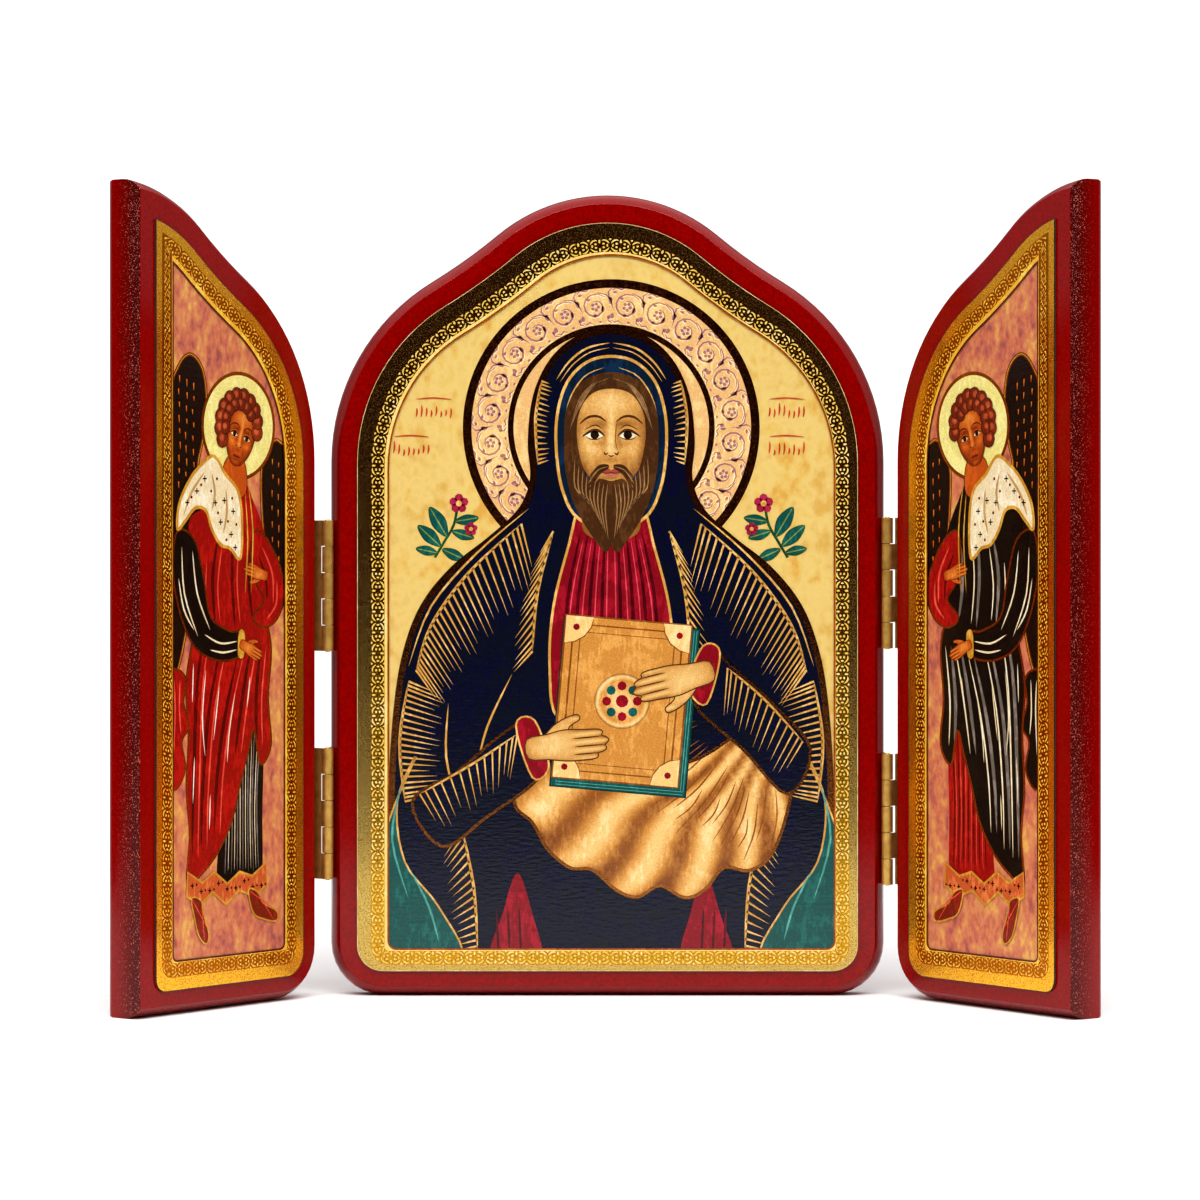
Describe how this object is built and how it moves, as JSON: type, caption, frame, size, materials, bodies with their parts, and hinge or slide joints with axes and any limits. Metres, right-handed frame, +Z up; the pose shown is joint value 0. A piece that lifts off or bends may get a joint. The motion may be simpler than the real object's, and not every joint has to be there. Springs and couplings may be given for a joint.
{
  "type": "triptych altarpiece",
  "caption": "Small folding altarpiece: an arched centre board with a half-arch wing hinged at each side, framed pictures on the inner faces.",
  "frame": {"origin": "on the floor, in the middle of the flat strip that the centre board stands on", "axes": "+Z up; the pictures look along -Y; +X to the viewer's right"},
  "size_m": [0.253, 0.0685, 0.214],
  "materials": {
    "red_lacquer": "gloss lacquer on fibreboard",
    "printed_foil": "printed and part gilded film, satin",
    "brass": "satin, slightly aged"
  },
  "bodies": {
    "centre": {"centre_panel": "red_lacquer", "centre_picture": "printed_foil", "left_upper_centre_leaf": "brass", "left_upper_pin": "brass", "left_lower_centre_leaf": "brass", "left_lower_pin": "brass", "right_upper_centre_leaf": "brass", "right_upper_pin": "brass", "right_lower_centre_leaf": "brass", "right_lower_pin": "brass"},
    "left_wing": {"left_wing": "red_lacquer", "left_picture": "printed_foil", "left_upper_wing_leaf": "brass", "left_lower_wing_leaf": "brass"},
    "right_wing": {"right_wing": "red_lacquer", "right_picture": "printed_foil", "right_upper_wing_leaf": "brass", "right_lower_wing_leaf": "brass"}
  },
  "joints": [
    {"name": "left_hinge", "type": "hinge", "parent": "centre", "child": "left_wing", "pos_m": [-0.0745, -0.009, 0.08], "axis": [0, 0, 1], "range_deg": [-52.4, 127.6]},
    {"name": "right_hinge", "type": "hinge", "parent": "centre", "child": "right_wing", "pos_m": [0.0745, -0.009, 0.08], "axis": [0, 0, 1], "range_deg": [-126.9, 53.1]}
  ]
}
